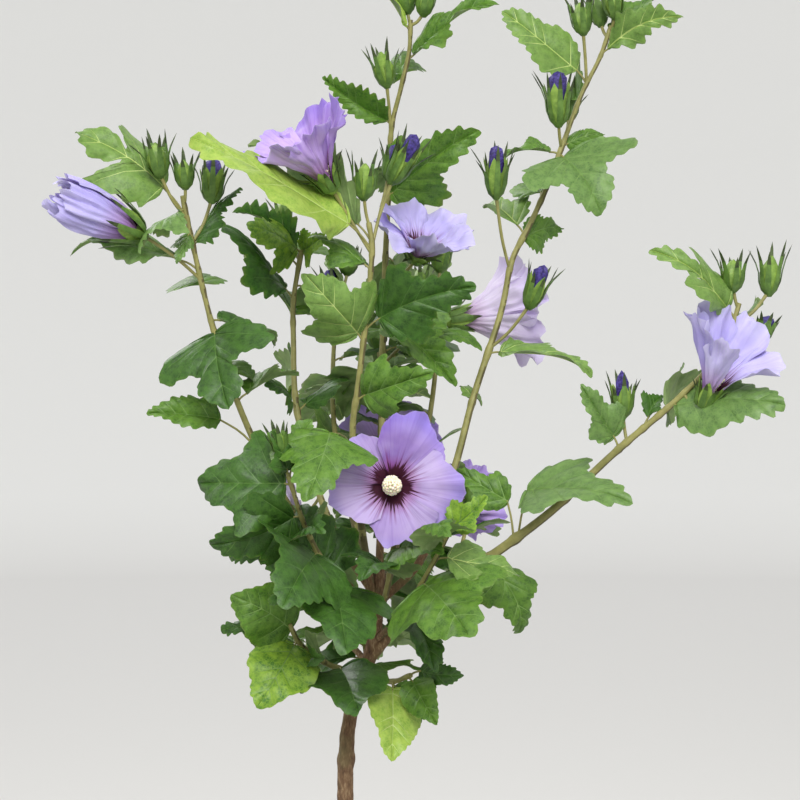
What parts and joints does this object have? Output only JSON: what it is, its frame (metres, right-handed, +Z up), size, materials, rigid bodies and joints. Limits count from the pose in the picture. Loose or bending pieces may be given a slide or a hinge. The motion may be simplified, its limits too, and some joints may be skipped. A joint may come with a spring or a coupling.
{
  "type": "rose of sharon shrub in pot",
  "caption": "Young flowering shrub with slim upright shoots, lobed leaves, buds and lilac blooms over a short bare stem in a round nursery pot.",
  "frame": {"origin": "centre of the pot's flat underside", "axes": "+Z up along the stem, +X to the right of the front view, +Y to the back"},
  "size_m": [0.4527, 0.31, 0.8473],
  "materials": {
    "pot_plastic": "injection-moulded black plastic, satin",
    "compost": "moist crumbly potting compost with fine fibres",
    "bark": "thin fissured grey-brown bark",
    "green_stem": "smooth young yellow-green bark",
    "leaf": "thin leaf blade, satin above, paler and matt below",
    "petal": "soft translucent lilac petal with maroon foot",
    "calyx": "green cup and narrow bracts",
    "stamen": "cream stamens with powdery pollen"
  },
  "bodies": {
    "root": {"pot": "pot_plastic", "compost": "compost", "trunk": "bark", "bough_left": "green_stem", "bough_left_centre": "green_stem", "bough_centre": "green_stem", "bough_crown": "green_stem", "bough_right": "green_stem", "bough_low_right": "green_stem", "bough_front": "green_stem", "bough_front_left": "green_stem", "bough_front_right": "green_stem", "bough_rear_left": "green_stem", "bough_rear_right": "green_stem", "bough_rear_mid": "green_stem", "bough_side_right": "green_stem", "bough_side_left": "green_stem", "foliage_left": "leaf", "foliage_left_centre": "leaf", "foliage_centre": "leaf", "foliage_crown": "leaf", "foliage_right": "leaf", "foliage_low_right": "leaf", "foliage_front": "leaf", "foliage_front_left": "leaf", "foliage_front_right": "leaf", "foliage_low_left": "leaf", "foliage_low_front": "leaf", "foliage_rear_left": "leaf", "foliage_rear_right": "leaf", "foliage_rear_mid": "leaf", "foliage_side_right": "leaf", "foliage_side_left": "leaf", "foliage_low_rear": "leaf"}
  },
  "joints": []
}
